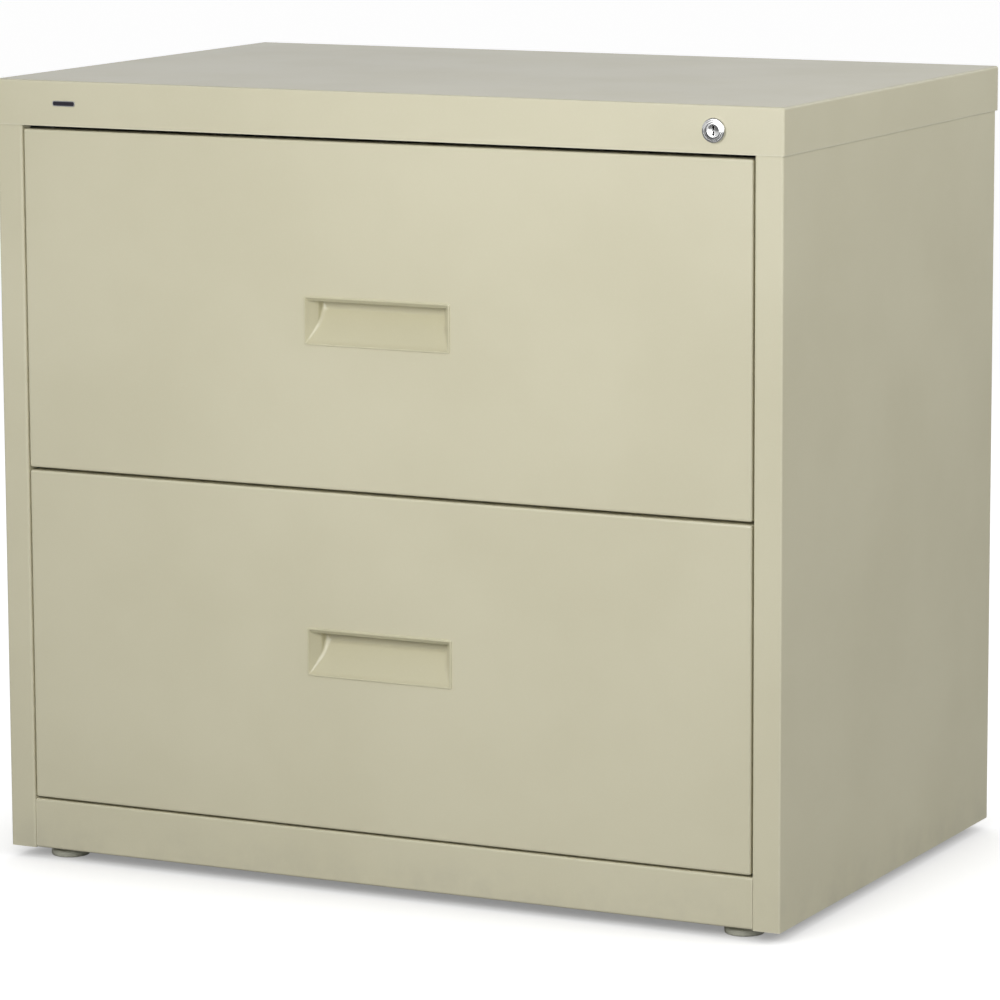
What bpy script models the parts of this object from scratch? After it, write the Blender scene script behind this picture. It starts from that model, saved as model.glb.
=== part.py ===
"""Two-drawer lateral filing cabinet: a folded sheet-steel case, two drawers with recessed pulls on
telescopic slides, a lock that bolts both drawers with one bar, and four levelling glides.

Metres, +Z up. The origin is on the floor under the middle of the case, and the drawers open to -Y.
Every mesh is worked out in those coordinates and then moved under its object's own origin.
"""
from math import atan2, cos, pi, radians, sin, tan

import bmesh
import bpy
from mathutils import Matrix, Vector

MM = 0.001

# Driving dimensions: the cabinet as a whole.
WIDTH = 762 * MM
DEPTH = 489 * MM
HEIGHT = 706.5 * MM
FIT = 0.3 * MM                  # between two pieces that touch

# Case
CASE_SHEET = 1.0 * MM
BEND = 2.0 * MM                 # outer radius of a fold
FOLD_ROOM = 0.7 * MM            # keeps a square corner out of the inside of a fold
CAP_SKIRT = 40.3 * MM
CAP_LIP = 11 * MM               # fold under the cap's front skirt
CAP_PROUD_REAR = 3.0 * MM
POST_WIDTH = 25.5 * MM
POST_RETURN = 14 * MM
CASE_FLANGE = 14 * MM           # top, bottom and rear folds of a side panel
BASE_RAIL_HEIGHT = 45.3 * MM
BASE_RAIL_SETBACK = 1.5 * MM
BASE_RAIL_FLANGE = 18 * MM
PAN_SHEET = 1.2 * MM
PAN_FLANGE = 18 * MM
HEADER_TOP_FLANGE = 38 * MM
HEADER_LOWER_FLANGE = 12 * MM
UPRIGHT_WIDTH = 40 * MM
UPRIGHT_SHEET = 1.5 * MM
UPRIGHT_FROM_FACE = 54 * MM     # front upright, behind the drawers' face
UPRIGHT_FROM_REAR = 50 * MM
BACK_MARGIN = 70 * MM           # flat border of the back panel
BACK_EMBOSS = 4 * MM
WEIGHT_LENGTH = 640 * MM
WEIGHT_DEPTH = 78 * MM
WEIGHT_HEIGHT = 20 * MM
WEIGHT_FROM_BACK = 14 * MM

# Glides
GLIDE_DROP = 10 * MM            # floor to the bottom edge of the case
GLIDE_INSET = 46 * MM           # glide's axis from the cap's side and front
GLIDE_FROM_FACE = 29 * MM
GLIDE_RADIUS = 17.5 * MM
GLIDE_DISC = 6.5 * MM
GLIDE_SHOULDER_RADIUS = 8 * MM
STUD_RADIUS = 4 * MM
STUD_LENGTH = 28 * MM           # above the bottom pan
STUD_CLEARANCE = 0.4 * MM

# Drawers
TOP_GAP = 3.4 * MM              # cap skirt to the upper drawer
MIDDLE_GAP = 2.7 * MM
BOTTOM_GAP = 2.2 * MM
SIDE_GAP = 1.6 * MM
UPPER_EXTRA_HEIGHT = 3.8 * MM   # the upper front is this much taller than the lower one
FRONT_SHEET = 0.9 * MM
FRONT_DEPTH = 21 * MM
FRONT_RETURN = 16 * MM          # reaches behind the drawer's sides and bottom
LINER_SHEET = 0.8 * MM
DRAWER_SHEET = 0.9 * MM
DRAWER_RISE = 12 * MM           # drawer's bottom above the lower edge of its front
DRAWER_TOP_ROOM = 46 * MM       # drawer's sides below the upper edge of its front
DRAWER_HEM = 8 * MM
DRAWER_REAR_ROOM = 14 * MM
BACK_FLANGE = 12 * MM
HANG_RAIL_SHEET = 1.2 * MM
HANG_RAIL_HEIGHT = 22 * MM
HANG_RAIL_LEDGE = 8 * MM
FRONT_RAIL_ROOM = 16 * MM       # front rail behind the drawer front
HANG_SPACING = 387 * MM         # between the two rails, for legal-size hanging folders

# Pulls: distances from the top of each drawer front down to the pull's middle
UPPER_PULL_DROP = 156 * MM
LOWER_PULL_DROP = 142.3 * MM
PULL_WIDTH = 142 * MM
PULL_HEIGHT = 43 * MM
RIM_WIDTH = 3.2 * MM
RIM_PROUD = 1.3 * MM
RIM_ROUND = 0.6 * MM
PULL_WALL = 1.4 * MM
PULL_ROOM = 1.4 * MM            # behind the cup, in front of the liner
PULL_UNDERCUT = 6 * MM          # finger space above the opening's upper edge
SCOOP_ABOVE_MIDDLE = 8 * MM     # where the scoop meets the cup's back wall
PULL_TAPER = 0.35               # how much the side walls lean in, for each unit of depth

# Slides, across from the case to the drawer
SLIDE_WIDTH = 13 * MM
SLIDE_SHEET = 1.5 * MM
SLIDE_HALF_HEIGHT = 22.9 * MM
SLIDE_BEND = 1.6 * MM
BALL_SPACE = 3.2 * MM
CAGE_SHEET = 0.4 * MM
CAGE_BEND = 0.5 * MM
CAGE_LENGTH = 180 * MM
CASE_LIP_SETBACK = 1.7 * MM
MIDDLE_LIP_SETBACK = 0.8 * MM
CAGE_LIP_SETBACK = 1.0 * MM
SLIDE_RISE = 70 * MM            # slide's middle above the drawer's bottom
SLIDE_FRONT_ROOM = 9 * MM

# Lock
LOCK_FROM_SIDE = 63 * MM        # axis from the cap's side
LOCK_FROM_TOP = 20.9 * MM
LOCK_COLLAR_RADIUS = 10.5 * MM
LOCK_PROUD = 2.8 * MM
LOCK_CHAMFER = 0.9 * MM
BARREL_RADIUS = 9.3 * MM
BARREL_CLEARANCE = 0.4 * MM
BARREL_LENGTH = 16 * MM         # behind the cap's skirt
PLUG_RADIUS = 6.5 * MM
PLUG_TAIL_RADIUS = 4 * MM
KEYWAY_WIDTH = 1.8 * MM
KEYWAY_HEIGHT = 8.6 * MM
KEYWAY_DEPTH = 7 * MM
NUT_RADIUS = 13.4 * MM
NUT_THICKNESS = 5 * MM
CAM_SHEET = 2.5 * MM
CAM_HUB_RADIUS = 7.5 * MM
CAM_TIP_RADIUS = 3.5 * MM
CRANK = 8 * MM                  # lock's axis to the crank pin
CRANK_PIN_RADIUS = 1.5 * MM
PIN_CLEARANCE = 0.5 * MM
CRANK_START = radians(-45)      # crank pin below the horizontal when unlocked
BAR_SHEET = 3 * MM
BAR_WIDTH = 12 * MM
BAR_FROM_POST = 2.8 * MM        # bar outside the post's inner edge
BAR_BEHIND_FRONT = 4.7 * MM     # bar behind the back of a drawer front
FORK_HALF_HEIGHT = 6 * MM
FORK_BEYOND_PIN = 6.6 * MM
FINGER_REACH = 11.5 * MM
FINGER_HEIGHT = 8 * MM
FINGER_CLEARANCE = 1.5 * MM     # under a catch's tooth when unlocked
CATCH_DROP = 30 * MM            # catch's arm below the top of its drawer front
CATCH_SHEET = 2 * MM
CATCH_WIDTH = 8 * MM
CATCH_FOOT = 30 * MM
CATCH_LENGTH = 15 * MM
TOOTH_HEIGHT = 14 * MM
TOOTH_SHEET = 3 * MM
GUIDE_HEIGHT = 8 * MM
GUIDE_OFFSET = 45 * MM          # from a finger to the nearer guide
GUIDE_WALL = 3 * MM

ROUND_STEPS = 24
BEND_STEPS = 3

# Planes and heights that several pieces share, worked out from the dimensions above.
SIDE = WIDTH / 2 - CASE_SHEET - FIT            # outer face of a side panel
FACE = -DEPTH / 2 + CASE_SHEET + FIT           # front plane of the posts and drawers
REAR = DEPTH / 2 - CAP_PROUD_REAR              # rear face of the side panels
POST_EDGE = SIDE - POST_WIDTH
INSIDE_WALL = SIDE - CASE_SHEET - FIT          # what stands against a side panel
CASE_TOP = HEIGHT - CASE_SHEET - FIT - FOLD_ROOM   # top of the side panels, under the cap
UNDER_FLANGE = CASE_TOP - CASE_SHEET - FIT
PAN_UNDER = GLIDE_DROP + CASE_SHEET + FIT
PAN_TOP = PAN_UNDER + PAN_SHEET
ON_PAN = PAN_TOP + FIT
BACK_OUTER = REAR - CASE_SHEET - FIT           # rear face of the back panel
BACK_INNER = BACK_OUTER - CASE_SHEET
FRONT_BACK = FACE + FRONT_DEPTH                # back of a drawer front
SLIDE_FRONT = FRONT_BACK + SLIDE_FRONT_ROOM
DRAWER_REAR = BACK_INNER - BACK_EMBOSS - DRAWER_REAR_ROOM
DRAWER_WEB = POST_EDGE - SLIDE_WIDTH            # outer face of a drawer member's web, on the drawer
DRAWER_SIDE = DRAWER_WEB - FIT
DRAWER_INSIDE = DRAWER_SIDE - DRAWER_SHEET - FIT - FOLD_ROOM

PULL_DEPTH = (FRONT_DEPTH - FRONT_SHEET - FIT - LINER_SHEET - PULL_ROOM
              - PULL_WALL)                     # inside of the cup, from the front's face
FRONT_SPACE = (HEIGHT - CAP_SKIRT - TOP_GAP - MIDDLE_GAP - BOTTOM_GAP
               - BASE_RAIL_HEIGHT - GLIDE_DROP)
UPPER_FRONT_HEIGHT = (FRONT_SPACE + UPPER_EXTRA_HEIGHT) / 2
LOWER_FRONT_HEIGHT = FRONT_SPACE - UPPER_FRONT_HEIGHT
LOWER_FRONT_BOTTOM = GLIDE_DROP + BASE_RAIL_HEIGHT + BOTTOM_GAP
UPPER_FRONT_BOTTOM = LOWER_FRONT_BOTTOM + LOWER_FRONT_HEIGHT + MIDDLE_GAP
UPPER_FRONT_TOP = UPPER_FRONT_BOTTOM + UPPER_FRONT_HEIGHT
LOWER_FRONT_TOP = LOWER_FRONT_BOTTOM + LOWER_FRONT_HEIGHT

LOCK_X = WIDTH / 2 - LOCK_FROM_SIDE
LOCK_Z = HEIGHT - LOCK_FROM_TOP
BAR_FRONT = FRONT_BACK + BAR_BEHIND_FRONT
BAR_BACK = BAR_FRONT + BAR_SHEET
BAR_INNER = POST_EDGE + BAR_FROM_POST
BAR_OUTER = BAR_INNER + BAR_WIDTH
PIN_Z = LOCK_Z + CRANK * sin(CRANK_START)


# --- Shapes ------------------------------------------------------------------------------------

def rounded(corners, radius):
    """A path through the corners with an arc in place of each inner one."""
    path = [Vector(corners[0])]
    for before, corner, after in zip(corners, corners[1:], corners[2:]):
        corner = Vector(corner)
        back = (Vector(before) - corner).normalized()
        ahead = (Vector(after) - corner).normalized()
        half = back.angle(ahead) / 2
        middle = corner + (back + ahead).normalized() * (radius / sin(half))
        spoke = corner + back * (radius / tan(half)) - middle
        turn = (pi - 2 * half) * (1 if ahead.cross(back) > 0 else -1)
        for step in range(BEND_STEPS + 1):
            path.append(middle + Matrix.Rotation(turn * step / BEND_STEPS, 2) @ spoke)
    path.append(Vector(corners[-1]))
    return path


def folded(corners, thickness, radius=BEND):
    """Closed outline of a folded sheet whose outer face runs through the corners."""
    outer = rounded(corners, radius)
    runs = [(b - a).normalized() for a, b in zip(outer, outer[1:])]
    turning = sum(a.cross(b) for a, b in zip(runs, runs[1:]))
    side = 1 if turning > 0 else -1
    inner = []
    for before, after, point in zip(runs[:1] + runs, runs + runs[-1:], outer):
        normals = [Vector((-run.y, run.x)) * side for run in (before, after)]
        shift = (normals[0] + normals[1]) / (1 + normals[0].dot(normals[1]))
        inner.append(point + shift * thickness)
    return outer + inner[::-1]


def circle(centre, radius, start=0.0, turn=2 * pi, steps=ROUND_STEPS):
    """Points along an arc; a full turn leaves out the last point, which is the first again."""
    count = steps if turn >= 2 * pi else steps + 1
    angles = [start + turn * step / steps for step in range(count)]
    return [(centre[0] + radius * cos(a), centre[1] + radius * sin(a)) for a in angles]


def prism(mesh, outline, axis, start, end):
    """Extrude an outline along an axis; its coordinates are the other two axes, in X, Y, Z order."""
    place = 'XYZ'.index(axis)
    rings = []
    for along in (start, end):
        ring = []
        for point in outline:
            corner = list(point)
            corner.insert(place, along)
            ring.append(mesh.verts.new(corner))
        rings.append(ring)
    mesh.faces.new(rings[0])
    mesh.faces.new(rings[1][::-1])
    for index in range(len(outline)):
        mesh.faces.new((rings[0][index], rings[0][index - 1], rings[1][index - 1], rings[1][index]))


def box(mesh, low, high):
    """An upright block between two corners."""
    outline = [(low[0], low[1]), (high[0], low[1]), (high[0], high[1]), (low[0], high[1])]
    prism(mesh, outline, 'Z', low[2], high[2])


def turned(mesh, profile, centre, axis, ring_shaped=False):
    """Turn a profile of (radius, distance along the axis) about an axis through the centre."""
    place = 'XYZ'.index(axis)
    rings = []
    for radius, along in profile:
        count = ROUND_STEPS if radius > 0 else 1
        ring = []
        for step in range(count):
            angle = 2 * pi * step / ROUND_STEPS
            corner = [radius * cos(angle), radius * sin(angle)]
            corner.insert(place, along)
            ring.append(mesh.verts.new(Vector(centre) + Vector(corner)))
        rings.append(ring)
    neighbours = list(zip(rings, rings[1:]))
    if ring_shaped:
        neighbours.append((rings[-1], rings[0]))
    for first, second in neighbours:
        for step in range(ROUND_STEPS):
            corners = [first[step % len(first)], first[(step + 1) % len(first)],
                       second[(step + 1) % len(second)], second[step % len(second)]]
            mesh.faces.new(list(dict.fromkeys(corners)))


# --- Objects -----------------------------------------------------------------------------------

def clear_scene():
    for item in list(bpy.data.objects):
        bpy.data.objects.remove(item, do_unlink=True)


def finish(name, colour, roughness, metallic):
    """A Principled material."""
    material = bpy.data.materials.new(name)
    material.use_nodes = True
    shader = material.node_tree.nodes['Principled BSDF']
    shader.inputs['Base Color'].default_value = (*colour, 1.0)
    shader.inputs['Roughness'].default_value = roughness
    shader.inputs['Metallic'].default_value = metallic
    material.diffuse_color = (*colour, 1.0)
    return material


def empty(name, place):
    """A parent on a moving group's joint."""
    item = bpy.data.objects.new(name, None)
    item.location = place
    item.empty_display_size = 0.02
    bpy.context.collection.objects.link(item)
    return item


def add(name, mesh, material=None, parent=None, origin=None):
    """Turn a bmesh in world coordinates into a named object with its own origin."""
    if origin is None:
        origin = parent.location if parent else (0, 0, 0)
    origin = Vector(origin)
    bmesh.ops.translate(mesh, verts=mesh.verts, vec=-origin)
    bmesh.ops.recalc_face_normals(mesh, faces=mesh.faces)
    data = bpy.data.meshes.new(name)
    mesh.to_mesh(data)
    mesh.free()
    if material:
        data.materials.append(material)
    data.shade_smooth()
    data.set_sharp_from_angle(angle=radians(35))
    item = bpy.data.objects.new(name, data)
    item.location = origin
    if parent:
        item.parent = parent
        item.location = origin - parent.location
    bpy.context.collection.objects.link(item)
    return item


def combine(item, world_origin, operation, mesh):
    """Join a second shape to an object, or cut it away, with a hidden guide object."""
    guide = add(f'{item.name}.{operation.lower()}', mesh)
    guide.parent = item
    guide.location = -Vector(world_origin)
    guide.hide_render = True
    guide.display_type = 'WIRE'
    modifier = item.modifiers.new(operation.lower(), 'BOOLEAN')
    modifier.operation = operation
    modifier.solver = 'EXACT'
    modifier.object = guide


def thicken(item, thickness):
    """Give a skin its sheet's thickness, inwards from the faces."""
    modifier = item.modifiers.new('sheet', 'SOLIDIFY')
    modifier.thickness = thickness
    modifier.offset = -1
    modifier.use_even_offset = True


def rounded_box_skin(low, high, open_side, radius, flange=0.0):
    """A box's outer skin with its edges rounded, open on one side but for an inward flange."""
    mesh = bmesh.new()
    box(mesh, low, high)
    bmesh.ops.recalc_face_normals(mesh, faces=mesh.faces)
    towards = Vector(open_side)
    kept = [edge for edge in mesh.edges
            if not any(face.normal.dot(towards) > 0.9 for face in edge.link_faces)]
    if flange:
        kept = list(mesh.edges)
    bmesh.ops.bevel(mesh, geom=kept, offset=radius, segments=BEND_STEPS, profile=0.5,
                    affect='EDGES', clamp_overlap=True)
    lid = [face for face in mesh.faces if face.normal.dot(towards) > 0.999]
    if flange:
        bmesh.ops.inset_region(mesh, faces=lid, thickness=flange - radius, use_even_offset=True)
        lid = [face for face in mesh.faces
               if face.normal.dot(towards) > 0.999 and len(face.verts) == 4
               and face.calc_area() > 0.5 * (high[0] - low[0]) * (high[2] - low[2])]
    bmesh.ops.delete(mesh, geom=lid, context='FACES')
    return mesh


# --- Case --------------------------------------------------------------------------------------

def side_panel(name, side, paint):
    """Side wall, front post and rear flange from one sheet, with folds along its top and bottom."""
    corners = [(SIDE - CASE_FLANGE, REAR), (SIDE, REAR), (SIDE, FACE), (POST_EDGE, FACE),
               (POST_EDGE, FACE + POST_RETURN)]
    outline = [(side * x, y) for x, y in folded(corners, CASE_SHEET)]
    mesh = bmesh.new()
    prism(mesh, outline, 'Z', GLIDE_DROP, CASE_TOP)
    item = add(name, mesh, paint)
    bite = CASE_SHEET / 2
    for low, kind in ((GLIDE_DROP, 'bottom'), (CASE_TOP - CASE_SHEET, 'top')):
        flange = bmesh.new()
        across = sorted((side * (SIDE - CASE_FLANGE), side * (SIDE - bite)))
        box(flange, (across[0], FACE + bite, low), (across[1], REAR - bite, low + CASE_SHEET))
        guide = add(f'{name}.{kind}_flange', flange)
        guide.parent = item
        guide.hide_render = True
        guide.display_type = 'WIRE'
        modifier = item.modifiers.new(kind, 'BOOLEAN')
        modifier.operation = 'UNION'
        modifier.solver = 'EXACT'
        modifier.object = guide
    return item


def back_panel(paint):
    """Flat sheet between the rear flanges, with its field pressed inwards to stiffen it."""
    mesh = bmesh.new()
    half = INSIDE_WALL - FOLD_ROOM
    low, high = (-half, ON_PAN), (half, UNDER_FLANGE)
    corners = [(low[0], low[1]), (high[0], low[1]), (high[0], high[1]), (low[0], high[1])]
    field = mesh.faces.new([mesh.verts.new((x, BACK_OUTER, z)) for x, z in reversed(corners)])
    field.normal_update()
    bmesh.ops.inset_individual(mesh, faces=[field], thickness=BACK_MARGIN)
    bmesh.ops.inset_individual(mesh, faces=[field], thickness=2 * BACK_EMBOSS, depth=-BACK_EMBOSS)
    item = open_skin('back_panel', mesh, paint)
    thicken(item, CASE_SHEET)


def open_skin(name, mesh, paint, parent=None):
    """Add a skin that isn't closed yet, keeping the way its faces point."""
    origin = Vector(parent.location) if parent else Vector((0, 0, 0))
    bmesh.ops.translate(mesh, verts=mesh.verts, vec=-origin)
    data = bpy.data.meshes.new(name)
    mesh.to_mesh(data)
    mesh.free()
    data.materials.append(paint)
    data.shade_smooth()
    data.set_sharp_from_angle(angle=radians(35))
    item = bpy.data.objects.new(name, data)
    if parent:
        item.parent = parent
    bpy.context.collection.objects.link(item)
    return item


def lock_hole():
    """The round hole for the lock's barrel, through the cap's skirt and the header rail."""
    mesh = bmesh.new()
    hole = BARREL_RADIUS + BARREL_CLEARANCE
    prism(mesh, circle((LOCK_X, LOCK_Z), hole), 'Y', -DEPTH / 2 - BAR_SHEET, FACE + 2 * BAR_SHEET)
    return mesh


def top_cap(paint):
    """Shallow pan over the case, with a lip folded back under its front skirt."""
    low, high = (-WIDTH / 2, -DEPTH / 2, HEIGHT - CAP_SKIRT), (WIDTH / 2, DEPTH / 2, HEIGHT)
    item = open_skin('top_cap', rounded_box_skin(low, high, (0, 0, -1), BEND), paint)
    thicken(item, CASE_SHEET)
    lip = bmesh.new()
    ends = POST_EDGE - FIT
    box(lip, (-ends, -DEPTH / 2 + CASE_SHEET / 2, HEIGHT - CAP_SKIRT),
        (ends, -DEPTH / 2 + CAP_LIP, HEIGHT - CAP_SKIRT + CASE_SHEET))
    combine(item, (0, 0, 0), 'UNION', lip)
    combine(item, (0, 0, 0), 'DIFFERENCE', lock_hole())


def base_rail(paint):
    """Toe rail between the posts, folded back at its top and bottom."""
    front = FACE + BASE_RAIL_SETBACK
    back = front + BASE_RAIL_FLANGE
    top = GLIDE_DROP + BASE_RAIL_HEIGHT
    mesh = bmesh.new()
    corners = [(back, GLIDE_DROP), (front, GLIDE_DROP), (front, top), (back, top)]
    prism(mesh, folded(corners, CASE_SHEET), 'X', -(POST_EDGE - FIT), POST_EDGE - FIT)
    add('base_front_rail', mesh, paint)


def bottom_pan(steel, glide_places):
    """Floor of the case, notched round the posts and bored for the glides' studs."""
    front = FACE + BASE_RAIL_SETBACK + CASE_SHEET + FIT
    back = BACK_INNER - FIT
    mesh = bmesh.new()
    corners = [(front, PAN_UNDER + PAN_FLANGE), (front, PAN_UNDER), (back, PAN_UNDER),
               (back, PAN_UNDER + PAN_FLANGE)]
    prism(mesh, folded(corners, PAN_SHEET), 'X', -INSIDE_WALL, INSIDE_WALL)
    item = add('bottom_pan', mesh, steel)
    cuts = bmesh.new()
    notch_back = FACE + POST_RETURN + FIT
    for side in (-1, 1):
        across = sorted((side * (POST_EDGE - FIT), side * WIDTH / 2))
        box(cuts, (across[0], -DEPTH / 2, 0), (across[1], notch_back, 2 * PAN_FLANGE + PAN_UNDER))
    for x, y in glide_places:
        prism(cuts, circle((x, y), STUD_RADIUS + STUD_CLEARANCE), 'Z', 0, ON_PAN + PAN_FLANGE)
    combine(item, (0, 0, 0), 'DIFFERENCE', cuts)


def header_rail(steel):
    """Channel behind the cap's front skirt, between the posts, that carries the lock."""
    bottom = HEIGHT - CAP_SKIRT + CASE_SHEET + FIT
    mesh = bmesh.new()
    corners = [(FACE + HEADER_LOWER_FLANGE, bottom), (FACE, bottom), (FACE, UNDER_FLANGE),
               (FACE + HEADER_TOP_FLANGE, UNDER_FLANGE)]
    prism(mesh, folded(corners, CASE_SHEET), 'X', -(POST_EDGE - FIT), POST_EDGE - FIT)
    item = add('header_rail', mesh, steel)
    combine(item, (0, 0, 0), 'DIFFERENCE', lock_hole())


def uprights(steel):
    """Four channels inside the side panels, with their webs inwards to carry the slides."""
    starts = {'front': FACE + UPRIGHT_FROM_FACE, 'rear': REAR - UPRIGHT_FROM_REAR - UPRIGHT_WIDTH}
    for side_name, side in (('left', -1), ('right', 1)):
        for end_name, start in starts.items():
            corners = [(INSIDE_WALL, start), (POST_EDGE, start),
                       (POST_EDGE, start + UPRIGHT_WIDTH), (INSIDE_WALL, start + UPRIGHT_WIDTH)]
            outline = [(side * x, y) for x, y in folded(corners, UPRIGHT_SHEET)]
            mesh = bmesh.new()
            prism(mesh, outline, 'Z', ON_PAN, UNDER_FLANGE)
            add(f'{end_name}_{side_name}_upright', mesh, steel)


def counterweight(iron):
    """Steel bar at the back of the floor that keeps the case from tipping."""
    back = BACK_INNER - BACK_EMBOSS - WEIGHT_FROM_BACK
    mesh = bmesh.new()
    box(mesh, (-WEIGHT_LENGTH / 2, back - WEIGHT_DEPTH, ON_PAN),
        (WEIGHT_LENGTH / 2, back, ON_PAN + WEIGHT_HEIGHT))
    item = add('counterweight', mesh, iron)
    modifier = item.modifiers.new('edges', 'BEVEL')
    modifier.width = BEND / 2
    modifier.segments = 1


def glides(plastic, places):
    """Screw-in feet: a moulded disc and shoulder on a threaded stud through the floor."""
    shoulder_top = PAN_UNDER - FIT
    profile = [(0, 0), (GLIDE_RADIUS - BEND / 2, 0), (GLIDE_RADIUS, BEND / 2),
               (GLIDE_RADIUS, GLIDE_DISC - BEND), (GLIDE_RADIUS - BEND, GLIDE_DISC),
               (GLIDE_SHOULDER_RADIUS, GLIDE_DISC), (GLIDE_SHOULDER_RADIUS, shoulder_top),
               (STUD_RADIUS, shoulder_top), (STUD_RADIUS, PAN_TOP + STUD_LENGTH),
               (STUD_RADIUS - CASE_SHEET, PAN_TOP + STUD_LENGTH + CASE_SHEET),
               (0, PAN_TOP + STUD_LENGTH + CASE_SHEET)]
    for name, (x, y) in places.items():
        mesh = bmesh.new()
        turned(mesh, profile, (x, y, 0), 'Z')
        add(f'{name}_glide', mesh, plastic, origin=(x, y, 0))


# --- Drawers -----------------------------------------------------------------------------------

def pull_outlines(middle_z):
    """Section through the pull: its finger space, and the cup's outside, as (y, z) outlines."""
    opening = PULL_HEIGHT / 2 - RIM_WIDTH
    scoop_top = middle_z + SCOOP_ABOVE_MIDDLE
    outlines = []
    for wall, mouth in ((0, -3 * RIM_PROUD), (PULL_WALL, -(FIT + RIM_PROUD) / 2)):
        depth = PULL_DEPTH + wall
        height = SCOOP_ABOVE_MIDDLE + opening + wall
        roof = middle_z + opening + PULL_UNDERCUT + wall
        lintel = FRONT_SHEET + FIT + PULL_WALL - wall
        outline = [(FACE + mouth, scoop_top - height)]
        steps = 3 * BEND_STEPS
        for step in range(steps + 1):
            angle = pi / 2 * step / steps
            outline.append((FACE + depth * sin(angle), scoop_top - height * cos(angle)))
        outline += [(FACE + depth, roof - BEND), (FACE + depth - BEND, roof), (FACE + lintel, roof),
                    (FACE + lintel, middle_z + opening + wall),
                    (FACE + mouth, middle_z + opening + wall)]
        outlines.append(outline)
    return outlines


def cup_solid(outline, half_width):
    """Section outline as a solid whose end walls lean in with depth."""
    mesh = bmesh.new()
    rings = []
    for side in (-1, 1):
        rings.append([mesh.verts.new((side * (half_width - PULL_TAPER * (y - FACE)), y, z))
                      for y, z in outline])
    mesh.faces.new(rings[0])
    mesh.faces.new(rings[1][::-1])
    for index in range(len(outline)):
        mesh.faces.new((rings[0][index], rings[0][index - 1], rings[1][index - 1], rings[1][index]))
    return mesh


def pull(name, middle_z, paint, drawer):
    """Recessed pull: a cup scooped at the bottom and undercut at the top, with a proud rim."""
    finger_space, outside = pull_outlines(middle_z)
    half_opening = PULL_WIDTH / 2 - RIM_WIDTH
    item = add(f'{name}_pull', cup_solid(outside, half_opening + PULL_WALL), paint, drawer)
    rim = bmesh.new()
    box(rim, (-PULL_WIDTH / 2, FACE - RIM_PROUD, middle_z - PULL_HEIGHT / 2),
        (PULL_WIDTH / 2, FACE - FIT, middle_z + PULL_HEIGHT / 2))
    outer_edges = [edge for edge in rim.edges
                   if all(vert.co.y < FACE - RIM_PROUD / 2 for vert in edge.verts)]
    bmesh.ops.bevel(rim, geom=outer_edges, offset=RIM_ROUND, segments=2, profile=0.5,
                    affect='EDGES')
    combine(item, drawer.location, 'UNION', rim)
    combine(item, drawer.location, 'DIFFERENCE', cup_solid(finger_space, half_opening))


def drawer_front(name, bottom, height, middle_z, paint, drawer):
    """Outer skin of the drawer front, folded back all round, with the hole for the pull."""
    half = POST_EDGE - SIDE_GAP
    low, high = (-half, FACE, bottom), (half, FRONT_BACK, bottom + height)
    mesh = rounded_box_skin(low, high, (0, 1, 0), BEND, FRONT_RETURN)
    item = open_skin(f'{name}_drawer_front', mesh, paint, drawer)
    thicken(item, FRONT_SHEET)
    hole = bmesh.new()
    across = PULL_WIDTH / 2 - RIM_WIDTH + PULL_WALL + 2 * FIT
    up = PULL_HEIGHT / 2 - RIM_WIDTH + PULL_WALL + 2 * FIT
    box(hole, (-across, FACE - BEND, middle_z - up), (across, FACE + 2 * BEND, middle_z + up))
    combine(item, drawer.location, 'DIFFERENCE', hole)

    room = FRONT_SHEET + FIT + FOLD_ROOM
    liner = bmesh.new()
    liner_back = FRONT_BACK - FRONT_SHEET - FIT
    box(liner, (-half + room, liner_back - LINER_SHEET, bottom + room),
        (half - room, liner_back, bottom + height - room))
    add(f'{name}_drawer_liner', liner, paint, drawer)


def drawer_box(name, bottom, top, paint, drawer):
    """Folded bottom and sides, the back, and the two rails that hanging folders ride on."""
    front = FRONT_BACK + FIT
    hem = DRAWER_SIDE - DRAWER_HEM
    corners = [(hem, top), (DRAWER_SIDE, top), (DRAWER_SIDE, bottom), (-DRAWER_SIDE, bottom),
               (-DRAWER_SIDE, top), (-hem, top)]
    body = bmesh.new()
    prism(body, folded(corners, DRAWER_SHEET), 'Y', front, DRAWER_REAR)
    add(f'{name}_drawer_body', body, paint, drawer)

    floor = bottom + DRAWER_SHEET + FIT
    under_hem = top - DRAWER_SHEET - FIT
    back = bmesh.new()
    rear = DRAWER_REAR - FIT
    corners = [(rear - BACK_FLANGE, floor), (rear, floor), (rear, under_hem),
               (rear - BACK_FLANGE, under_hem)]
    prism(back, folded(corners, DRAWER_SHEET), 'X', -DRAWER_INSIDE, DRAWER_INSIDE)
    add(f'{name}_drawer_back', back, paint, drawer)

    front_rail = FRONT_BACK + FRONT_RAIL_ROOM
    ledges = {'front': (front_rail, -HANG_RAIL_LEDGE),
              'rear': (front_rail + HANG_SPACING, HANG_RAIL_LEDGE)}
    for end_name, (at, ledge) in ledges.items():
        rail = bmesh.new()
        corners = [(at, under_hem - HANG_RAIL_HEIGHT), (at, under_hem), (at + ledge, under_hem)]
        prism(rail, folded(corners, HANG_RAIL_SHEET), 'X', -DRAWER_INSIDE, DRAWER_INSIDE)
        add(f'{name}_{end_name}_hang_rail', rail, paint, drawer)


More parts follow.
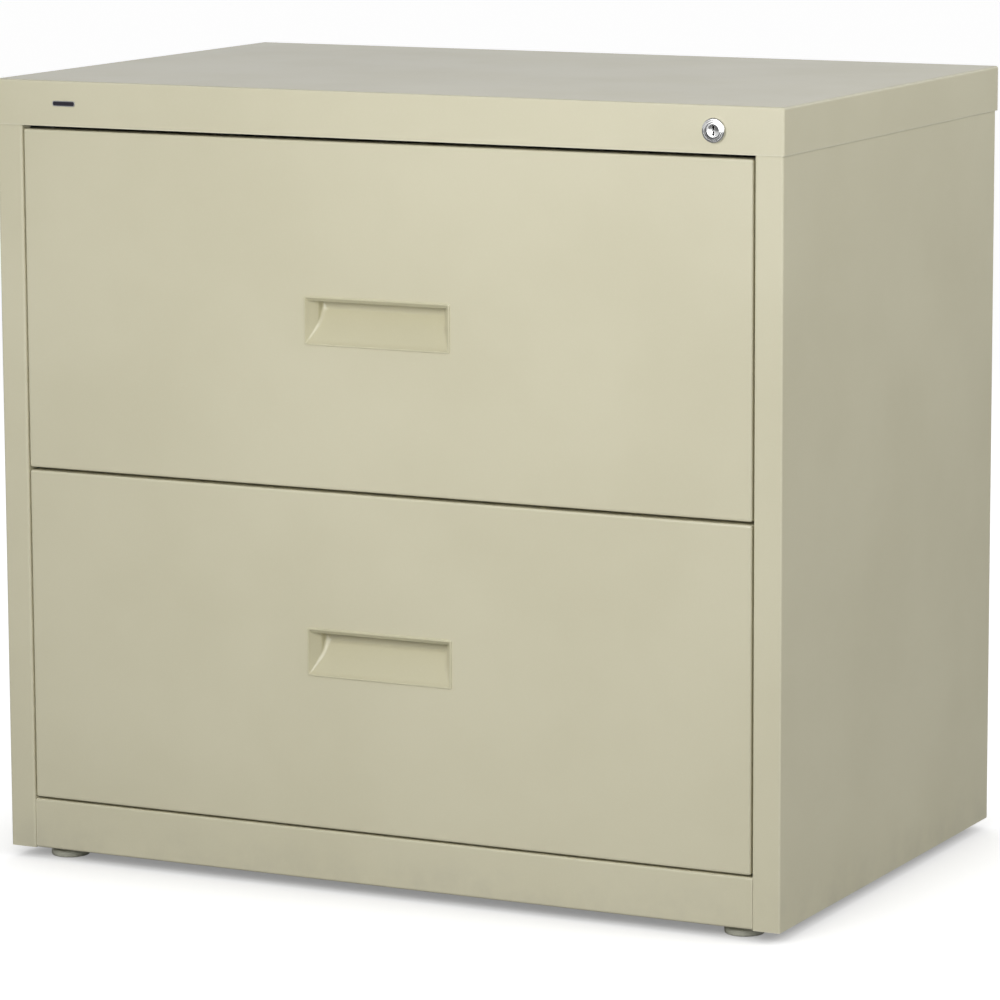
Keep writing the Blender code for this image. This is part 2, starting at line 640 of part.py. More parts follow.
def lock_catch(name, arm_top, steel, drawer):
    """Hook behind the drawer front, at its right, that the lock bar's finger stands in."""
    inner = DRAWER_WEB + CASE_LIP_SETBACK
    start = FRONT_BACK + FIT
    end = start + CATCH_LENGTH
    corners = [(start, arm_top - CATCH_FOOT), (start + CATCH_SHEET, arm_top - CATCH_FOOT),
               (start + CATCH_SHEET, arm_top - CATCH_SHEET),
               (end - TOOTH_SHEET, arm_top - CATCH_SHEET),
               (end - TOOTH_SHEET, arm_top - TOOTH_HEIGHT), (end, arm_top - TOOTH_HEIGHT),
               (end, arm_top), (start, arm_top)]
    mesh = bmesh.new()
    prism(mesh, corners, 'X', inner, inner + CATCH_WIDTH)
    add(f'{name}_lock_catch', mesh, steel, drawer)


# --- Slides ------------------------------------------------------------------------------------

def channel(name, side, web, lip, half_height, middle_z, sheet, bend, start, end, metal, parent):
    """Member or ball cage of a slide: a web with two lips, running front to back."""
    corners = [(lip, middle_z - half_height), (web, middle_z - half_height),
               (web, middle_z + half_height), (lip, middle_z + half_height)]
    outline = [(side * x, z) for x, z in folded(corners, sheet, bend)]
    mesh = bmesh.new()
    prism(mesh, outline, 'Y', start, end)
    origin = None if parent else (side * web, start, middle_z)
    add(name, mesh, metal, parent, origin)


def slide(name, side, middle_z, zinc, drawer):
    """Telescopic slide: case, middle and drawer members nested in each other, and two cages."""
    case_web = POST_EDGE - FIT
    outer_cage_web = case_web - SLIDE_SHEET - FIT
    middle_web = outer_cage_web - CAGE_SHEET - FIT
    inner_cage_web = middle_web - SLIDE_SHEET - FIT
    drawer_tip = inner_cage_web - CAGE_SHEET - FIT
    middle_tip = DRAWER_WEB + SLIDE_SHEET + MIDDLE_LIP_SETBACK
    cage_tip = middle_tip + CAGE_LIP_SETBACK

    middle_half = SLIDE_HALF_HEIGHT - SLIDE_SHEET - BALL_SPACE
    drawer_half = middle_half - SLIDE_SHEET - BALL_SPACE
    outer_cage_half = middle_half + (BALL_SPACE + CAGE_SHEET) / 2
    inner_cage_half = drawer_half + (BALL_SPACE + CAGE_SHEET) / 2

    ends = (SLIDE_FRONT, DRAWER_REAR)
    cage_start = (SLIDE_FRONT + DRAWER_REAR - CAGE_LENGTH) / 2
    cage_ends = (cage_start, cage_start + CAGE_LENGTH)

    channel(f'{name}_case_member', side, case_web, DRAWER_WEB + CASE_LIP_SETBACK,
            SLIDE_HALF_HEIGHT, middle_z, SLIDE_SHEET, SLIDE_BEND, *ends, zinc, None)
    channel(f'{name}_middle_member', side, middle_web, middle_tip,
            middle_half, middle_z, SLIDE_SHEET, SLIDE_BEND, *ends, zinc, None)
    channel(f'{name}_drawer_member', side, DRAWER_WEB, drawer_tip,
            drawer_half, middle_z, SLIDE_SHEET, SLIDE_BEND, *ends, zinc, drawer)
    channel(f'{name}_outer_cage', side, outer_cage_web, cage_tip,
            outer_cage_half, middle_z, CAGE_SHEET, CAGE_BEND, *cage_ends, zinc, None)
    channel(f'{name}_inner_cage', side, inner_cage_web, cage_tip,
            inner_cage_half, middle_z, CAGE_SHEET, CAGE_BEND, *cage_ends, zinc, None)


# --- Lock --------------------------------------------------------------------------------------

def lock_cylinder(chrome, zinc, turning):
    """Housing and nut on the case; plug and cam turn together on the lock's axis."""
    axis = (LOCK_X, 0, LOCK_Z)
    skirt = -DEPTH / 2
    nose = skirt - LOCK_PROUD
    collar_back = skirt - FIT
    barrel_end = skirt + BARREL_LENGTH
    bore = PLUG_RADIUS + FIT
    housing = bmesh.new()
    profile = [(bore, nose), (LOCK_COLLAR_RADIUS - LOCK_CHAMFER, nose),
               (LOCK_COLLAR_RADIUS, nose + LOCK_CHAMFER), (LOCK_COLLAR_RADIUS, collar_back),
               (BARREL_RADIUS, collar_back), (BARREL_RADIUS, barrel_end), (bore, barrel_end)]
    turned(housing, profile, axis, 'Y', ring_shaped=True)
    add('lock_housing', housing, chrome)

    nut = bmesh.new()
    nut_start = FACE + CASE_SHEET + FIT
    nut_bore = BARREL_RADIUS + FIT
    nut_end = nut_start + NUT_THICKNESS
    rings = []
    for radius, along in ((nut_bore, nut_start), (NUT_RADIUS, nut_start), (NUT_RADIUS, nut_end),
                          (nut_bore, nut_end)):
        flat = radius == NUT_RADIUS
        ring = []
        for step in range(ROUND_STEPS):
            angle = 2 * pi * step / ROUND_STEPS
            reach = radius
            if flat:
                reach *= cos(pi / 6) / cos((angle + pi / 6) % (pi / 3) - pi / 6)
            ring.append(nut.verts.new((LOCK_X + reach * sin(angle), along,
                                       LOCK_Z + reach * cos(angle))))
        rings.append(ring)
    for first, second in zip(rings, rings[1:] + rings[:1]):
        for step in range(ROUND_STEPS):
            nut.faces.new((first[step - 1], first[step], second[step], second[step - 1]))
    add('lock_nut', nut, zinc)

    cam_front = BAR_FRONT - FIT - CAM_SHEET - BAR_SHEET
    cam_back = cam_front + CAM_SHEET
    plug = bmesh.new()
    profile = [(0, nose + FIT), (PLUG_RADIUS - FIT, nose + FIT), (PLUG_RADIUS, nose + 2 * FIT),
               (PLUG_RADIUS, cam_front - FIT), (PLUG_TAIL_RADIUS, cam_front - FIT),
               (PLUG_TAIL_RADIUS, cam_back + CAM_SHEET / 2), (0, cam_back + CAM_SHEET / 2)]
    turned(plug, profile, axis, 'Y')
    item = add('lock_plug', plug, chrome, turning)
    keyway = bmesh.new()
    box(keyway, (LOCK_X - KEYWAY_WIDTH / 2, nose - FIT, LOCK_Z - KEYWAY_HEIGHT / 2),
        (LOCK_X + KEYWAY_WIDTH / 2, nose + KEYWAY_DEPTH, LOCK_Z + KEYWAY_HEIGHT / 2))
    combine(item, turning.location, 'DIFFERENCE', keyway)

    pin = (LOCK_X + CRANK * cos(CRANK_START), PIN_Z)
    lean = atan2(pin[1] - LOCK_Z, pin[0] - LOCK_X)
    half = ROUND_STEPS // 2
    outline = (circle((LOCK_X, LOCK_Z), CAM_HUB_RADIUS, lean + pi / 2, pi, half)
               + circle(pin, CAM_TIP_RADIUS, lean - pi / 2, pi, half))
    cam = bmesh.new()
    prism(cam, outline, 'Y', cam_front, cam_back)
    item = add('lock_cam', cam, zinc, turning)
    crank_pin = bmesh.new()
    prism(crank_pin, circle(pin, CRANK_PIN_RADIUS), 'Y', cam_front + CAM_SHEET / 2,
          BAR_BACK + CAM_SHEET / 2)
    combine(item, turning.location, 'UNION', crank_pin)
    hole = bmesh.new()
    prism(hole, circle((LOCK_X, LOCK_Z), PLUG_TAIL_RADIUS + FIT), 'Y', cam_front - CAM_SHEET,
          cam_back + CAM_SHEET)
    combine(item, turning.location, 'DIFFERENCE', hole)


def lock_bar(arm_tops, steel, zinc, sliding):
    """Flat bar behind the right post: a fork for the crank pin and a finger for each drawer."""
    pin_reach = LOCK_X + CRANK + CRANK_PIN_RADIUS
    fork_tip = LOCK_X + CRANK * cos(CRANK_START) - FORK_BEYOND_PIN
    fork_root = pin_reach + 2 * PIN_CLEARANCE
    half_slot = CRANK_PIN_RADIUS + PIN_CLEARANCE
    finger_tip = BAR_INNER - FINGER_REACH
    outline = [(BAR_INNER, PIN_Z - FORK_HALF_HEIGHT), (fork_tip, PIN_Z - FORK_HALF_HEIGHT),
               (fork_tip, PIN_Z - half_slot), (fork_root, PIN_Z - half_slot),
               (fork_root, PIN_Z + half_slot), (fork_tip, PIN_Z + half_slot),
               (fork_tip, PIN_Z + FORK_HALF_HEIGHT), (BAR_OUTER, PIN_Z + FORK_HALF_HEIGHT)]
    fingers = []
    for arm_top in sorted(arm_tops):
        finger_top = arm_top - TOOTH_HEIGHT - FINGER_CLEARANCE
        finger_bottom = finger_top - FINGER_HEIGHT
        fingers.append(finger_bottom)
        start = (BAR_INNER, finger_bottom)
        if len(fingers) == 1:
            outline += [(BAR_OUTER, finger_bottom), (finger_tip, finger_bottom)]
        else:
            outline += [start, (finger_tip, finger_bottom)]
        outline += [(finger_tip, finger_top), (BAR_INNER, finger_top)]
    mesh = bmesh.new()
    prism(mesh, outline, 'Y', BAR_FRONT, BAR_BACK)
    add('lock_bar', mesh, steel, sliding)

    lower, upper = fingers
    heights = {'lower': lower + FINGER_HEIGHT + GUIDE_OFFSET, 'upper': upper - GUIDE_OFFSET}
    for name, start in heights.items():
        guide = bmesh.new()
        outer = [(POST_EDGE + CASE_SHEET, BAR_FRONT - GUIDE_WALL),
                 (INSIDE_WALL, BAR_FRONT - GUIDE_WALL), (INSIDE_WALL, BAR_BACK + GUIDE_WALL),
                 (POST_EDGE + CASE_SHEET, BAR_BACK + GUIDE_WALL)]
        inner = [(BAR_INNER - FIT, BAR_FRONT - FIT), (BAR_OUTER + FIT, BAR_FRONT - FIT),
                 (BAR_OUTER + FIT, BAR_BACK + FIT), (BAR_INNER - FIT, BAR_BACK + FIT)]
        rings = [[guide.verts.new((x, y, z)) for x, y in loop]
                 for loop, z in ((outer, start), (outer, start + GUIDE_HEIGHT),
                                 (inner, start + GUIDE_HEIGHT), (inner, start))]
        for first, second in zip(rings, rings[1:] + rings[:1]):
            for index in range(len(outer)):
                guide.faces.new((first[index - 1], first[index], second[index],
                                 second[index - 1]))
        add(f'{name}_bar_guide', guide, zinc)


# --- The cabinet -------------------------------------------------------------------------------

def build():
    clear_scene()
    putty = finish('putty_powder_coat', (0.62, 0.59, 0.46), 0.45, 0.0)
    inner_putty = finish('inner_powder_coat', (0.60, 0.57, 0.44), 0.5, 0.0)
    zinc = finish('zinc_plated_steel', (0.62, 0.63, 0.64), 0.35, 1.0)
    chrome = finish('chrome', (0.80, 0.80, 0.81), 0.12, 1.0)
    iron = finish('black_steel', (0.08, 0.08, 0.085), 0.6, 0.4)
    plastic = finish('ivory_plastic', (0.46, 0.46, 0.36), 0.5, 0.0)

    glide_x = WIDTH / 2 - GLIDE_INSET
    glide_front = FACE + GLIDE_FROM_FACE
    glide_rear = REAR - GLIDE_FROM_FACE
    glide_places = {'front_left': (-glide_x, glide_front), 'front_right': (glide_x, glide_front),
                    'rear_left': (-glide_x, glide_rear), 'rear_right': (glide_x, glide_rear)}

    side_panel('left_side_panel', -1, putty)
    side_panel('right_side_panel', 1, putty)
    back_panel(putty)
    top_cap(putty)
    base_rail(putty)
    bottom_pan(zinc, glide_places.values())
    header_rail(inner_putty)
    uprights(zinc)
    counterweight(iron)
    glides(plastic, glide_places)

    drawers = {'upper': (UPPER_FRONT_BOTTOM, UPPER_FRONT_HEIGHT, UPPER_PULL_DROP),
               'lower': (LOWER_FRONT_BOTTOM, LOWER_FRONT_HEIGHT, LOWER_PULL_DROP)}
    arm_tops = []
    for name, (bottom, height, pull_drop) in drawers.items():
        drawer = empty(f'{name}_drawer', (0, FACE, bottom))
        pull_z = bottom + height - pull_drop
        drawer_front(name, bottom, height, pull_z, putty, drawer)
        pull(name, pull_z, putty, drawer)
        floor = bottom + DRAWER_RISE
        drawer_box(name, floor, bottom + height - DRAWER_TOP_ROOM, inner_putty, drawer)
        arm_top = bottom + height - CATCH_DROP
        lock_catch(name, arm_top, zinc, drawer)
        arm_tops.append(arm_top)
        for side_name, side in (('left', -1), ('right', 1)):
            slide(f'{name}_{side_name}', side, floor + SLIDE_RISE, zinc, drawer)

    turning = empty('lock_turning', (LOCK_X, -DEPTH / 2, LOCK_Z))
    sliding = empty('lock_sliding', ((BAR_INNER + BAR_OUTER) / 2, BAR_FRONT, PIN_Z))
    lock_cylinder(chrome, zinc, turning)
    lock_bar(arm_tops, zinc, zinc, sliding)


build()
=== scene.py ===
"""Two-drawer lateral filing cabinet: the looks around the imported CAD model."""
from math import cos, pi, radians, sin, sqrt

import bmesh
import bpy
from mathutils import Matrix, Vector


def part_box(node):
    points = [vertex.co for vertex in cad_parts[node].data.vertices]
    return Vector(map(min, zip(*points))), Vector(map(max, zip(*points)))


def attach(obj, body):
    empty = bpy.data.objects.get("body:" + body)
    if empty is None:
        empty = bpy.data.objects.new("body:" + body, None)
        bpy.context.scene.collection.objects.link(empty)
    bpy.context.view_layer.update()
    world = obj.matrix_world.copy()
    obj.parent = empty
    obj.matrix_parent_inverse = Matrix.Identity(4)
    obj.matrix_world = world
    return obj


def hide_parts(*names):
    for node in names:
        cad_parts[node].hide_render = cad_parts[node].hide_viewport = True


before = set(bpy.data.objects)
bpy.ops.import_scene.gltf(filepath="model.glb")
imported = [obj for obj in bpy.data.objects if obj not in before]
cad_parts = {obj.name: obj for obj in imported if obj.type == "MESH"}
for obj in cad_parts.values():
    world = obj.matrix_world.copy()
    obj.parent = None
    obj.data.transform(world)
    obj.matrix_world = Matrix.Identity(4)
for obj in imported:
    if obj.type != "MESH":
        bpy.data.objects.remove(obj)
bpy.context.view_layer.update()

MM = 0.001


# --- Room --------------------------------------------------------------------------------------
# A pale floor under plain soft studio light: lamps ahead of the cabinet, to its right and behind
# it, and a white surround that is brighter at eye level than overhead.

scene = bpy.context.scene
scene.view_settings.view_transform = "Standard"
scene.view_settings.look = "None"


class Socket:
    """An output of a node, so that sums in a material or a node tree read as plain sums."""

    def __init__(self, maker, socket):
        self.maker = maker
        self.socket = socket

    def sum(self, operation, *others):
        return self.maker.node("ShaderNodeMath", dict(enumerate(others)), operation=operation)

    def __add__(self, other):
        return self.sum("ADD", self, other)

    __radd__ = __add__

    def __sub__(self, other):
        return self.sum("SUBTRACT", self, other)

    def __rsub__(self, other):
        return self.sum("SUBTRACT", other, self)

    def __mul__(self, other):
        return self.sum("MULTIPLY", self, other)

    __rmul__ = __mul__

    def lower(self, other):
        return self.sum("MINIMUM", self, other)

    def higher(self, other):
        return self.sum("MAXIMUM", self, other)

    def size(self):
        return self.sum("ABSOLUTE", self)

    def rise(self, start, end):
        """0 at start, 1 at end, eased at both."""
        inputs = {"Value": self, "From Min": start, "From Max": end}
        return self.maker.node("ShaderNodeMapRange", inputs, interpolation_type="SMOOTHSTEP",
                               clamp=True)


class NodeTree:
    """Makes the nodes of a material, a world or a Geometry Nodes tree."""

    def __init__(self, tree, family="Shader"):
        self.tree = tree
        self.family = family

    def node(self, kind, sockets=None, output=0, **settings):
        """One node: its settings first, then what its sockets hold or are linked to."""
        made = self.tree.nodes.new(kind if "Node" in kind else f"{self.family}Node{kind}")
        for name, value in settings.items():
            setattr(made, name, value)
        for name, value in (sockets or {}).items():
            if isinstance(value, Socket):
                self.tree.links.new(value.socket, made.inputs[name])
            else:
                made.inputs[name].default_value = value
        return Socket(self, made.outputs[output]) if len(made.outputs) else made


class Finish(NodeTree):
    """A material under construction: the maths on the piece's own coordinates, and its shader."""

    def __init__(self, name):
        self.material = bpy.data.materials.new(name)
        self.material.use_nodes = True
        self.material.node_tree.nodes.clear()
        super().__init__(self.material.node_tree)
        self.place = self.node("TexCoord", output="Object")

    def along(self):
        """The piece's x, y and z."""
        split = self.node("SeparateXYZ", {"Vector": self.place})
        outputs = split.socket.node.outputs
        return [Socket(self, output) for output in outputs]

    def noise(self, scale, detail=2.0, roughness=0.5, stretch=None):
        """Noise from 0 to 1; scale is in bumps per metre, and stretch scales each axis."""
        place = self.place
        if stretch:
            place = self.node("Mapping", {"Vector": place, "Scale": stretch})
        return self.node("TexNoise", {"Vector": place, "Scale": scale, "Detail": detail,
                                      "Roughness": roughness})

    def mix(self, share, first, second):
        """Colour between two colours, each a tuple or a socket."""
        inputs = {0: share}
        for index, colour in ((6, first), (7, second)):
            inputs[index] = colour if isinstance(colour, Socket) else (*colour, 1)
        return self.node("Mix", inputs, output=2, data_type="RGBA", clamp_factor=True)

    def bump(self, height, depth, strength=1.0):
        return self.node("Bump", {"Height": height, "Distance": depth, "Strength": strength})

    def close(self, **inputs):
        """Ends the tree in one Principled shader; inputs are its sockets, with _ for space."""
        sockets = {name.replace("_", " "): value for name, value in inputs.items()}
        shader = self.node("BsdfPrincipled", sockets)
        self.node("OutputMaterial", {"Surface": shader})
        return self.material


FLOOR_SIZE = 30.0
FLOOR_TONE = 0.60               # as the camera sees it
FLOOR_BOUNCE = 0.29             # tone of the floor as the cabinet sees it
FLOOR_GLOW = 0.78               # seen by the camera alone, so that it lights nothing
FLOOR_SHADE_REACH = 0.16
FLOOR_SHADE = 0.7               # share of the glow that is lost where the floor is covered, a painted contact shadow

floor_mesh = bpy.data.meshes.new("floor")
half = FLOOR_SIZE / 2
floor_mesh.from_pydata([(-half, -half, 0), (half, -half, 0), (half, half, 0), (-half, half, 0)],
                       [], [(0, 1, 2, 3)])
floor = bpy.data.objects.new("floor", floor_mesh)
scene.collection.objects.link(floor)
floor_finish = Finish("floor")
on_camera = floor_finish.node("LightPath", output="Is Camera Ray")
# painted shadow: the floor's glow is dimmed by ambient occlusion near the cabinet
openness = floor_finish.node("AmbientOcclusion", {"Distance": FLOOR_SHADE_REACH}, "AO")
floor_mesh.materials.append(floor_finish.close(
    Base_Color=on_camera * (FLOOR_TONE - FLOOR_BOUNCE) + FLOOR_BOUNCE,
    Roughness=0.9,
    Specular_IOR_Level=0.1,
    Emission_Color=(1, 1, 1, 1),
    Emission_Strength=on_camera * (openness * FLOOR_SHADE + (1 - FLOOR_SHADE)) * FLOOR_GLOW))

LEVEL_SURROUND = 0.84
OVERHEAD_SURROUND = 0.20
world = bpy.data.worlds.new("white_surround")
scene.world = world
world.use_nodes = True
world.node_tree.nodes.clear()
sky = NodeTree(world.node_tree)
direction = sky.node("SeparateXYZ", {"Vector": sky.node("TexCoord", output="Generated")}, "Z")
fade = direction.rise(0.0, 0.8) * (OVERHEAD_SURROUND - LEVEL_SURROUND)
seen = sky.node("LightPath", output="Is Camera Ray")
sky.node("OutputWorld", {"Surface": sky.node(
    "Background", {"Color": (1, 1, 1, 1), "Strength": (fade + LEVEL_SURROUND).higher(seen)})})


def soft_lamp(name, place, aim, width, height, watts):
    """Rectangular studio lamp at place, turned towards aim."""
    lamp = bpy.data.lights.new(name, "AREA")
    lamp.shape = "RECTANGLE"
    lamp.size = width
    lamp.size_y = height
    lamp.energy = watts
    item = bpy.data.objects.new(name, lamp)
    scene.collection.objects.link(item)
    item.location = place
    item.rotation_euler = (Vector(aim) - Vector(place)).to_track_quat("-Z", "Y").to_euler()
    item.visible_camera = False
    return item


soft_lamp("front_lamp", (0.18, -1.5, 0.9), (0, -0.1, 0.35), 0.9, 0.7, 10.8)
soft_lamp("side_lamp", (2.0, -0.05, 1.5), (0, -0.1, 0.5), 0.9, 0.9, 14.5)
back_lamp = soft_lamp("back_lamp", (-1.0, 2.2, 1.6), (0, 0.1, 0.4), 1.2, 1.2, 11)
back_lamp.visible_glossy = False    # else the cap mirrors it towards the camera


# --- Camera ------------------------------------------------------------------------------------
# Long lens from the right front, a little above the cabinet's top.

CAMERA_PLACE = Vector((2.000, -3.9995, 1.054))
CAMERA_TURN = radians(26.61)
CAMERA_DIP = radians(9.35)
CAMERA_ROLL = radians(-0.25)
LENS = 179.5

forward = Vector((-sin(CAMERA_TURN) * cos(CAMERA_DIP), cos(CAMERA_TURN) * cos(CAMERA_DIP),
                  -sin(CAMERA_DIP)))
level = Vector((cos(CAMERA_TURN), sin(CAMERA_TURN), 0))
upward = level.cross(forward)
across = level * cos(CAMERA_ROLL) + upward * sin(CAMERA_ROLL)
upright = upward * cos(CAMERA_ROLL) - level * sin(CAMERA_ROLL)
camera = bpy.data.objects.new("camera", bpy.data.cameras.new("camera"))
scene.collection.objects.link(camera)
camera.data.sensor_width = 36
camera.data.lens = LENS
camera.data.clip_start = 0.1
camera.data.clip_end = 100
turn = Matrix((across, upright, -forward)).transposed()
camera.matrix_world = Matrix.Translation(CAMERA_PLACE) @ turn.to_4x4()
scene.camera = camera


# --- Painted sheet metal -----------------------------------------------------------------------
# Folded steel sheet under a baked powder coat: faint orange peel, broad soft changes of tone, and
# a slightly paler, smoother line along the folds, partly where hands and boxes have rubbed them and
# partly a painted highlight.

PUTTY = (0.722, 0.685, 0.500)
PUTTY_SHADE = (0.685, 0.648, 0.466)
# paler putty along the folds: rubbed wear and a painted highlight
RUBBED_AND_HIGHLIT_PUTTY = (0.83, 0.80, 0.65)
RUB_AND_HIGHLIGHT_WIDTH = 2.2 * MM
COAT = 0.5                      # share of the hard outer skin of the powder coat


def fold_rub_and_highlight(finish, low, high, reach):
    """1 on the edges of a box from low to high, 0 further than reach from them."""
    gaps = []
    for along, start, end in zip(finish.along(), low, high):
        gaps.append((along - start).size().lower((along - end).size()))
    first, second, third = gaps
    edge = first.lower(second).higher(first.higher(second).lower(third))
    broken = finish.noise(140, 3) * 1.4 * MM
    return 1 - (edge + broken).rise(0.2 * reach, reach)


def powder_coat(name, box_of, colour=PUTTY, shade=PUTTY_SHADE, rubbed_and_highlit=RUBBED_AND_HIGHLIT_PUTTY, dull=0.0,
                grime=0.25, rub_and_highlight_share=0.55):
    """Powder coat for one piece, whose folds follow the edges of its own box."""
    low, high = box_of
    finish = Finish(name)
    clouds = finish.noise(5.0, 3, 0.55)
    specks = finish.noise(420, 2)
    peel = finish.noise(1100, 1.5, 0.4)
    rub_and_highlight = fold_rub_and_highlight(finish, low, high, RUB_AND_HIGHLIGHT_WIDTH)
    paint = finish.mix(clouds.rise(0.3, 0.7), shade, colour)
    paint = finish.mix((specks - 0.5).size() * 0.18, paint, (0.9, 0.88, 0.78))
    # folds mixed paler: partly rubbed wear, partly a painted highlight
    paint = finish.mix(rub_and_highlight * rub_and_highlight_share, paint, rubbed_and_highlit)
    foot = 1 - finish.along()[2].rise(5 * MM, 60 * MM)
    dust = foot * finish.noise(24, 4, 0.6).rise(0.35, 0.8) * grime
    paint = finish.mix(dust, paint, (0.42, 0.40, 0.33))
    smears = finish.noise(9, 4, 0.6, (1, 1, 2.5)).rise(0.35, 0.75)
    gloss = 0.40 + dull + smears * 0.09 + dust * 0.2 - rub_and_highlight * 0.08
    return finish.close(
        Base_Color=paint,
        Roughness=gloss,
        IOR=1.5,
        Coat_Weight=COAT,
        Coat_Roughness=0.22,
        Normal=finish.bump(peel + specks * 0.4, 0.05 * MM, 0.55))


def wear(node, material):
    """Gives a CAD node its finish."""
    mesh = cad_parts[node].data
    mesh.materials.clear()
    mesh.materials.append(material)


PAINTED = ["left_side_panel", "right_side_panel", "top_cap", "back_panel", "base_front_rail",
           "upper_drawer_front", "lower_drawer_front", "upper_drawer_liner",
           "lower_drawer_liner"]
for node in PAINTED:
    wear(node, powder_coat(f"{node}_paint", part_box(node)))

INSIDE = ["header_rail", "bottom_pan"] + [
    f"{drawer}_{piece}" for drawer in ("upper", "lower")
    for piece in ("drawer_body", "drawer_back", "front_hang_rail", "rear_hang_rail")]
for node in INSIDE:
    wear(node, powder_coat(f"{node}_paint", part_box(node), dull=0.12, grime=0.1))


# --- Zinc plated pieces ------------------------------------------------------------------------
# Rolled steel with a bright zinc plating: uprights, slide members and cages, lock bar and guides.

ZINC = (0.60, 0.61, 0.62)
ZINC_DARK = (0.47, 0.48, 0.49)


def zinc_plate(name, grain=(1, 0.05, 1)):
    """Zinc plate with its rolling lines along one axis and clouded passivation."""
    finish = Finish(name)
    clouds = finish.noise(18, 4, 0.6)
    rolled = finish.noise(700, 2, 0.5, grain)
    tint = finish.mix(finish.noise(40, 2).rise(0.4, 0.7), ZINC, (0.62, 0.60, 0.53))
    metal = finish.mix(clouds.rise(0.3, 0.75), tint, ZINC_DARK)
    return finish.close(
        Base_Color=metal,
        Metallic=1.0,
        Roughness=0.34 + clouds * 0.18 + rolled * 0.06,
        Normal=finish.bump(rolled, 0.03 * MM, 0.5))


zinc_along = zinc_plate("zinc_along")
zinc_up = zinc_plate("zinc_up", (1, 1, 0.05))
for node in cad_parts:
    if node.endswith(("_member", "_cage")):
        wear(node, zinc_along)
    elif node.endswith(("upright", "_catch", "_guide")) or node in ("lock_bar", "lock_cam",
                                                                     "lock_nut"):
        wear(node, zinc_up)


# --- Counterweight -----------------------------------------------------------------------------
# Flat bar of hot-rolled steel, left with its dark mill scale.

scale_finish = Finish("mill_scale")
flakes = scale_finish.noise(60, 5, 0.65)
wear("counterweight", scale_finish.close(
    Base_Color=scale_finish.mix(flakes.rise(0.42, 0.62), (0.035, 0.036, 0.040),
                                (0.10, 0.075, 0.06)),
    Metallic=0.55,
    Roughness=0.5 + flakes * 0.25,
    Normal=scale_finish.bump(flakes, 0.2 * MM, 0.6)))


# --- Drawer pulls ------------------------------------------------------------------------------
# One moulding for each drawer, coloured a little darker than it as painted shade for its cup: a
# proud rim round a cup that is scooped out at the bottom and undercut at the top, so that fingers
# hook up behind the lip. It clips in.

PULL_HALF_WIDTH = 71 * MM
PULL_HALF_HEIGHT = 21.5 * MM
PULL_DEPTH = 16.2 * MM
PULL_WALL = 1.4 * MM
PULL_BEVEL = 9 * MM             # depth of the slope inside the rim, at both sides
PULL_BEVEL_LEAN = 0.85
PULL_LEAN = 0.12                # side walls behind it, for each unit of depth
PULL_LIP = 2.6 * MM             # depth of the lip above the finger space
FINGER_SPACE = 6 * MM
# painted shade: both pull colours are darker than the putty, for the shade in the cup
PULL_TONE_WITH_PAINTED_SHADE = (0.665, 0.628, 0.435)
PULL_DARK_WITH_PAINTED_SHADE = (0.640, 0.603, 0.412)
SCOOP_TOP = 9 * MM              # above the middle
SCOOP_BEND = 0.95               # 0.5 is an upright quarter round, 1 a straight ramp
SCOOP_CORNER = 5 * MM
CUP_FLOOR_EDGE = 2 * MM         # rounding between the walls and the bottom of the cup
RIM_WIDTH = 1.9 * MM
RIM_TOP_WIDTH = 4.2 * MM
# rim's section, as (inwards from its outer edge, proud of the drawer)
RIM_SECTION = ((1.8, 0.02), (0, 0.02), (0, 0.55), (0.16, 0.85), (0.5, 1.0), (1.3, 1.0),
               (1.65, 0.9), (1.9, 0.5))
CORNER_STEPS = 8


def rounded_ring(mesh, half_width, bottom, top, radius, y, low_radius=None):
    """Ring of points on a rounded rectangle that faces the front."""
    low_radius = low_radius or radius
    ring = []
    for corner, centre_x, centre_z, start in (
            (radius, half_width - radius, top - radius, 0),
            (radius, radius - half_width, top - radius, 1),
            (low_radius, low_radius - half_width, bottom + low_radius, 2),
            (low_radius, half_width - low_radius, bottom + low_radius, 3)):
        for step in range(CORNER_STEPS + 1):
            angle = pi / 2 * (start + step / CORNER_STEPS)
            ring.append(mesh.verts.new((centre_x + corner * cos(angle), y,
                                        centre_z + corner * sin(angle))))
    return ring


def bridge(mesh, rings):
    """Skin over rings of equal count, closed at both ends."""
    for first, second in zip(rings, rings[1:]):
        for index in range(len(first)):
            mesh.faces.new((first[index - 1], first[index], second[index], second[index - 1]))
    mesh.faces.new(rings[0])
    mesh.faces.new(rings[-1][::-1])


